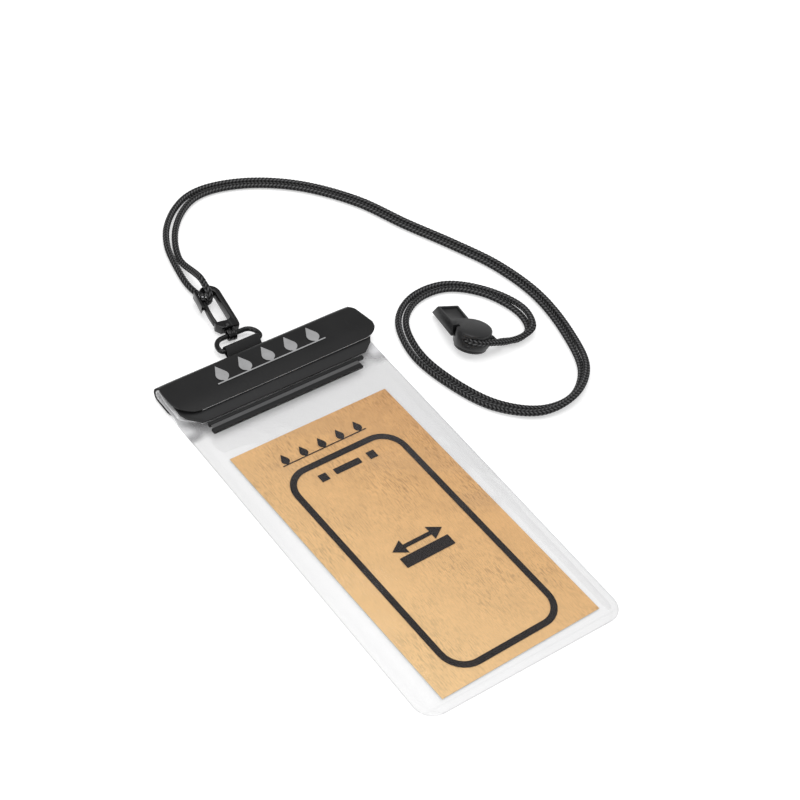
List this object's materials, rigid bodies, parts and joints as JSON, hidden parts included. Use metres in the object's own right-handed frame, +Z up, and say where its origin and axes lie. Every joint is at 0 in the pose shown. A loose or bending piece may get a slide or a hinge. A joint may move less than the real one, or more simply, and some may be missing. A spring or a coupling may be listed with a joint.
{
  "type": "waterproof neck pouch",
  "caption": "Clear waterproof phone pouch with press-zip mouth, fold-over flap and kraft insert card, on a doubled neck cord with oval ring, swivel snap hook and whistle.",
  "frame": {"origin": "middle of the bag's underside, where the pouch lies on the surface", "axes": "X across the pouch to its right, Y from its bottom edge to its folded mouth, Z up from the surface"},
  "size_m": [0.2243, 0.3453, 0.0156],
  "materials": {
    "clear_bag": "clear film, gloss",
    "insert_card": "kraft paperboard, matte",
    "card_phone_outline": "printed ink, matte",
    "card_speaker_bar": "printed ink, matte",
    "card_label_bar": "printed ink, matte",
    "card_size_arrow": "printed ink, matte",
    "card_drop_mark": "printed ink, matte",
    "neck_panel": "black sheet, satin",
    "loop_patch": "loop pile",
    "hook_patch": "hook tape",
    "closure_flap": "black sheet, satin",
    "flap_drop_mark": "printed ink, grey",
    "zip_groove_strip": "satin",
    "zip_rib_strip": "satin",
    "ring_tab": "black sheet, satin",
    "oval_ring": "moulded, gloss",
    "swivel_eye": "moulded, gloss",
    "hook_body": "moulded, gloss",
    "gate_pin": "blackened steel",
    "hook_gate": "moulded, gloss",
    "whistle_body": "moulded, satin",
    "whistle_side_cover": "moulded, satin",
    "lanyard_cord": "plaited cord"
  },
  "bodies": {
    "pouch": {"clear_bag": "clear_bag", "insert_card": "insert_card", "card_phone_outline": "card_phone_outline", "card_speaker_bar": "card_speaker_bar", "card_label_bar": "card_label_bar", "card_size_arrow": "card_size_arrow", "card_drop_mark": "card_drop_mark", "neck_panel": "neck_panel", "loop_patch": "loop_patch", "hook_patch": "hook_patch", "closure_flap": "closure_flap", "flap_drop_mark": "flap_drop_mark", "zip_groove_strip": "zip_groove_strip", "zip_rib_strip": "zip_rib_strip", "ring_tab": "ring_tab"},
    "ring": {"oval_ring": "oval_ring"},
    "swivel": {"swivel_eye": "swivel_eye"},
    "hook": {"hook_body": "hook_body", "gate_pin": "gate_pin", "lanyard_cord": "lanyard_cord", "whistle_body": "whistle_body", "whistle_side_cover": "whistle_side_cover"},
    "gate": {"hook_gate": "hook_gate"}
  },
  "joints": [
    {"name": "ring_hinge", "type": "hinge", "parent": "pouch", "child": "ring", "pos_m": [-0.0027, 0.1182, 0.0034], "axis": [0.9996, 0.0297, 0], "range_deg": [-60, 70], "deforming": ["lanyard_cord"]},
    {"name": "eye_hinge", "type": "hinge", "parent": "ring", "child": "swivel", "pos_m": [-0.00355, 0.12658, 0.0034], "axis": [0.9996, 0.0297, 0], "range_deg": [-70, 60], "deforming": ["lanyard_cord"]},
    {"name": "hook_swivel", "type": "hinge", "parent": "swivel", "child": "hook", "pos_m": [-0.00303, 0.12984, 0.00372], "axis": [0.1557, 0.9831, 0.0958], "continuous": true, "deforming": ["lanyard_cord"]},
    {"name": "gate_hinge", "type": "hinge", "parent": "hook", "child": "gate", "pos_m": [-0.00441, 0.15313, 0.00591], "axis": [-0.015, -0.0947, 0.9954], "range_deg": [0, 11], "stiffness_Nm_per_rad": 0.02, "springref_deg": -22.92}
  ]
}
